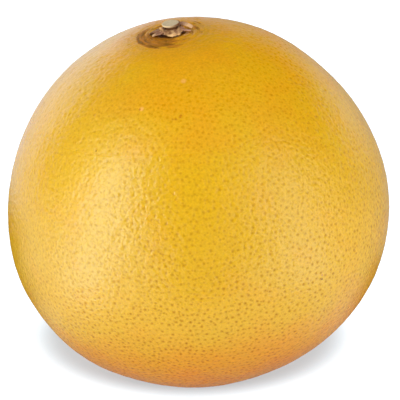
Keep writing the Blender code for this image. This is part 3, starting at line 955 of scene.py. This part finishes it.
# Patches of light. What the skin scatters and what it mirrors are set apart, as a studio sets
# screens and flags that only a mirror sees. Each row gives a brightness, a tint and its soft edges:
# the part of the place or direction (X, Y, Z, the distance R or the turn A from the front towards
# the right), start and end
HIGH = (("Z", 0.10, 0.50), ("Z", 0.95, 0.60), ("Y", 0.40, -0.10))
LOW = (("Z", 0.45, 0.15), ("Y", 0.30, -0.30))
LEFT, RIGHT = ("X", -0.05, -0.40), ("X", 0.05, 0.40)
ROOM_SCATTERED = (
    (1.17, WHITE, (("Z", 0.60, 0.95),)),  # ceiling
    (1.10, WHITE, (*HIGH, LEFT)),
    (1.10, WHITE, (*HIGH, RIGHT)),
    (1.90, WHITE, (*LOW, LEFT)),
    (1.85, WHITE, (*LOW, RIGHT)),
    (0.30, WHITE, (("X", 0.55, 1.00), ("Z", 0.90, 0.50))),  # far right
    (0.45, WHITE, (("Y", 0.20, 0.80), ("Z", 0.80, 0.40))),  # pale wall behind
)
ROOM_MIRRORED = (
    (5.5, COOL, (*sector(-1.40, -0.61), ("Z", 0.95, 0.68))),  # left screen
    (2.3, WARM, (*sector(-1.83, -1.05), ("Z", 0.92, 0.42))),  # its outer part
    (0.30, COOL, (*sector(-0.96, -0.17), ("Z", 0.45, 0.25))),  # its inner edge
    (2.2, COOL, (*sector(1.40, 0.61), ("Z", 0.85, 0.65))),  # right screen
    (1.6, BLUSH, (*sector(1.83, 1.05), ("Z", 0.55, 0.30))),  # its outer part
    (0.55, COOL, (*sector(0.96, 0.17), ("Z", 0.85, 0.65))),  # its inner edge
    (1.75, DUSKY, (("A", -1.92, -2.27), ("Z", 0.70, 0.30))),  # wall behind on the left
    (1.0, DUSKY, (("A", 1.92, 2.27), ("Z", 0.45, 0.25))),  # wall behind on the right
)
TABLE_SCATTERED = (
    (0.21, WHITE, (("R", 0.10, 0.06),)),  # under the fruit
    (0.24, WHITE, (("R", 0.06, 0.10), ("R", 0.45, 0.20), ("X", 0.02, -0.06), ("Y", 0.08, 0.02))),
    (0.38, WHITE, (("R", 0.06, 0.10), ("R", 0.45, 0.20), ("Y", 0.00, -0.08))),  # in front
    (1.15, WHITE, (("R", 0.20, 0.45), ("X", -0.05, -0.35))),  # far out on the left
    (1.00, WHITE, (("R", 0.20, 0.45), ("X", 0.05, 0.35))),  # and on the right
)
TABLE_MIRRORED = (
    (0.3, WHITE, (("R", 0.065, 0.035),)),  # under the fruit, then round it
    (0.9, WHITE, (("A", -2.10, -1.40), ("A", 2.10, 1.40), ("R", 0.035, 0.065), ("R", 0.12, 0.08))),
    (4.3, COOL, (*sector(-1.40, -0.61), ("R", 0.06, 0.13))),  # by the left screen
    (1.1, COOL, (*sector(-2.10, -1.05), ("R", 0.08, 0.12))),
    (1.6, COOL, (*sector(-0.96, -0.17), ("R", 0.06, 0.13))),
    (2.6, COOL, (*sector(1.40, 0.61), ("R", 0.08, 0.12))),  # by the right screen
    (1.2, BLUSH, (*sector(2.10, 1.05), ("R", 0.06, 0.13))),
    (1.4, COOL, (*sector(0.96, 0.17), ("R", 0.08, 0.12), ("R", 0.30, 0.16))),
    (1.1, DUSKY, (("A", -1.75, -2.10), ("R", 0.14, 0.24))),  # behind on the left
    (0.5, DUSKY, (("A", 1.75, 2.10), ("R", 0.08, 0.12))),  # behind on the right
)


def glow_sum(add, place, rows, share):
    """Colour of the patches of light together, each with soft edges, over a place or a direction."""
    parts = dict(zip("XYZ", add("SeparateXYZ", (place,), output=None)))
    parts["R"] = add("VectorMath", (place,), "LENGTH", output="Value")
    front = add("Math", (parts["Y"], -1.0), "MULTIPLY")
    parts["A"] = add("Math", (parts["X"], front), "ARCTAN2")
    total = (0.0, 0.0, 0.0)
    for brightness, hue, edges in rows:
        glow = brightness * share
        for part, start, end in edges:
            edge = add("MapRange", (parts[part], start, end), **SMOOTH)
            glow = add("Math", (edge, glow), "MULTIPLY")
        glow = add("VectorMath", {0: hue, "Scale": glow}, "SCALE")
        total = add("VectorMath", (glow, total), "ADD")
    return total


FLOOR_RADIUS = 6.0
PAINTED_SHADOW_MIDDLE = (-1.5 * MM, 25.0 * MM, 0.0)
PAINTED_SHADOW_INNER, PAINTED_SHADOW_OUTER = 35.0 * MM, 48.2 * MM
PAINTED_SHADOW_LEVEL, PAPER_LEVEL = 0.61, 1.6  # of the table's own light, in the painted shadow and clear of it
SEEN_SHARE = 0.7  # of that light in what the camera sees. The rest is the table as lit


def make_floor(studio):
    """A wide pale table of frosted acrylic, lit from below, with a painted shadow behind the fruit where
    the glow that the camera sees is dimmed.
    """
    mesh_data = bmesh.new()
    bmesh.ops.create_circle(mesh_data, cap_ends=True, segments=96, radius=FLOOR_RADIUS)
    mesh = bpy.data.meshes.new("floor")
    mesh_data.to_mesh(mesh)
    mesh_data.free()
    floor = put("floor", mesh)
    material, tree, shader = start_material("frosted_acrylic_table")
    add = partial(add_node, tree)
    place = add("TexCoord", output="Object")
    rays = add("LightPath", output=None)
    feed_node(tree, shader, {
        "Base Color": linear("#F4F4F4"),
        "Roughness": 0.9,
        "Specular IOR Level": 0.1,
        "Emission Strength": 1.0,
        "Emission Color": glow_sum(add, place, TABLE_SCATTERED, studio.table_light),
    })
    sheen = add("Emission", (glow_sum(add, place, TABLE_MIRRORED, studio.table_light),))
    table = add("MixShader", (rays["Is Glossy Ray"], shader.outputs[0], sheen))

    # To the camera the table is paper white up to a painted soft shadow behind the fruit, where its glow is
    # dimmed
    away = add("VectorMath", (place, PAINTED_SHADOW_MIDDLE), "DISTANCE", output="Value")
    painted_shadow_lift = add("MapRange", (away, PAINTED_SHADOW_INNER, PAINTED_SHADOW_OUTER, PAINTED_SHADOW_LEVEL, PAPER_LEVEL), **SMOOTH)
    white = add("Emission", (linear("#EFF9FF"), painted_shadow_lift))
    seen = add("Math", (rays["Is Camera Ray"], SEEN_SHARE), "MULTIPLY")
    both = add("MixShader", (seen, table, white))
    feed_node(tree, tree.nodes["Material Output"], {"Surface": both})
    material.cycles.emission_sampling = "NONE"
    mesh.materials.append(material)


PAPER_WATTS = 4.0  # from a square metre that looks paper white


def make_lights(studio):
    """Two tall softboxes close to the fruit, the left one brighter."""
    for name, azimuth, brightness in (
        ("softbox_left", -62.0, studio.left_light),
        ("softbox_right", 60.0, studio.right_light),
    ):
        lamp = bpy.data.lights.new(name, "AREA")
        lamp.shape = "RECTANGLE"
        lamp.size = studio.box_width
        lamp.size_y = studio.box_height
        lamp.energy = PAPER_WATTS * brightness * studio.box_width * studio.box_height
        light = put(name, lamp)
        turn = math.radians(azimuth)
        away = Vector((math.sin(turn), -math.cos(turn), 0.0))
        light.location = away * studio.box_distance + Vector((0.0, 0.0, 0.5 * studio.box_height))
        light.rotation_euler = away.to_track_quat("Z", "Y").to_euler()
        light.visible_camera = False
        light.visible_glossy = False


def make_world(studio):
    """White for the camera. On the fruit: a pale room, with bright screens where its skin mirrors them."""
    world = bpy.data.worlds.new("studio_room")
    bpy.context.scene.world = world
    world.use_nodes = True
    tree = world.node_tree
    tree.nodes.clear()
    add = partial(add_node, tree)
    facing = add("TexCoord", output="Generated")
    rays = add("LightPath", output=None)
    light = glow_sum(add, facing, ROOM_SCATTERED, studio.room_light)
    for ray, other in (
        ("Is Glossy Ray", glow_sum(add, facing, ROOM_MIRRORED, studio.room_light)),
        ("Is Camera Ray", (1.1, 1.1, 1.1)),
    ):
        light = add("Mix", {0: rays[ray], 4: light, 5: other}, **VECTORS)
    room = add("Background", {"Color": light, "Strength": 1.0})
    add("OutputWorld", (room,), output=None)
    world.cycles.sampling_method = "NONE"


# The photograph is 400 by 400 pixels, and these say where the fruit's middle lies in it
PHOTO_SIDE = 400.0
PHOTO_MIDDLE_X = 196.7
PHOTO_MIDDLE_Y = 203.6
PHOTO_FOCAL = 3814.0  # focal length in pixels, at the camera's distance


def make_camera(form, studio):
    """A long lens at the photograph's height, aimed so that the fruit fills the frame as there."""
    data = bpy.data.cameras.new("camera")
    data.sensor_width = 36.0
    data.lens = data.sensor_width * PHOTO_FOCAL / PHOTO_SIDE
    camera = put("camera", data)
    rise = studio.camera_elevation
    back = Vector((0.0, -math.cos(rise), math.sin(rise)))
    right = Vector((1.0, 0.0, 0.0))
    up = Vector((0.0, math.sin(rise), math.cos(rise)))
    metre_per_pixel = studio.camera_distance / PHOTO_FOCAL
    aim = Vector((0.0, 0.0, middle_height(form)))
    aim += right * (PHOTO_SIDE / 2.0 - PHOTO_MIDDLE_X) * metre_per_pixel
    aim += up * (PHOTO_MIDDLE_Y - PHOTO_SIDE / 2.0) * metre_per_pixel
    camera.location = aim + back * studio.camera_distance
    camera.rotation_euler = back.to_track_quat("Z", "Y").to_euler()
    bpy.context.scene.camera = camera


class GRAPEFRUIT_PT_panel(bpy.types.Panel):
    """Lists the fruit's pieces and their settings"""

    bl_label = "Grapefruit"
    bl_idname = "GRAPEFRUIT_PT_panel"
    bl_space_type = "VIEW_3D"
    bl_region_type = "UI"
    bl_category = "Grapefruit"

    def draw(self, context):
        for step in STEPS:
            self.layout.operator(step.bl_idname)
        for name in SETTINGS:
            group = getattr(context.scene, name)
            box = self.layout.box()
            box.label(text=name.replace("grapefruit_", "").capitalize())
            for field in group.__annotations__:
                box.prop(group, field)


STEPS = (GRAPEFRUIT_OT_rind, GRAPEFRUIT_OT_calyx, GRAPEFRUIT_OT_stalk, GRAPEFRUIT_OT_stage)
SETTINGS = {
    "grapefruit_form": GRAPEFRUIT_PG_form,
    "grapefruit_rind": GRAPEFRUIT_PG_rind,
    "grapefruit_calyx": GRAPEFRUIT_PG_calyx,
    "grapefruit_studio": GRAPEFRUIT_PG_studio,
}


def register():
    """Register the settings, the operators and the panel."""
    for name, group in SETTINGS.items():
        bpy.utils.register_class(group)
        setattr(bpy.types.Scene, name, PointerProperty(type=group))
    for step in (*STEPS, GRAPEFRUIT_PT_panel):
        bpy.utils.register_class(step)


def unregister():
    """Take away what register added."""
    for step in (GRAPEFRUIT_PT_panel, *reversed(STEPS)):
        bpy.utils.unregister_class(step)
    for name, group in SETTINGS.items():
        delattr(bpy.types.Scene, name)
        bpy.utils.unregister_class(group)


def main():
    """Build every piece."""
    register()
    bpy.ops.grapefruit.rind()
    bpy.ops.grapefruit.calyx()
    bpy.ops.grapefruit.stalk()
    bpy.ops.grapefruit.stage()


if __name__ == "__main__":
    main()
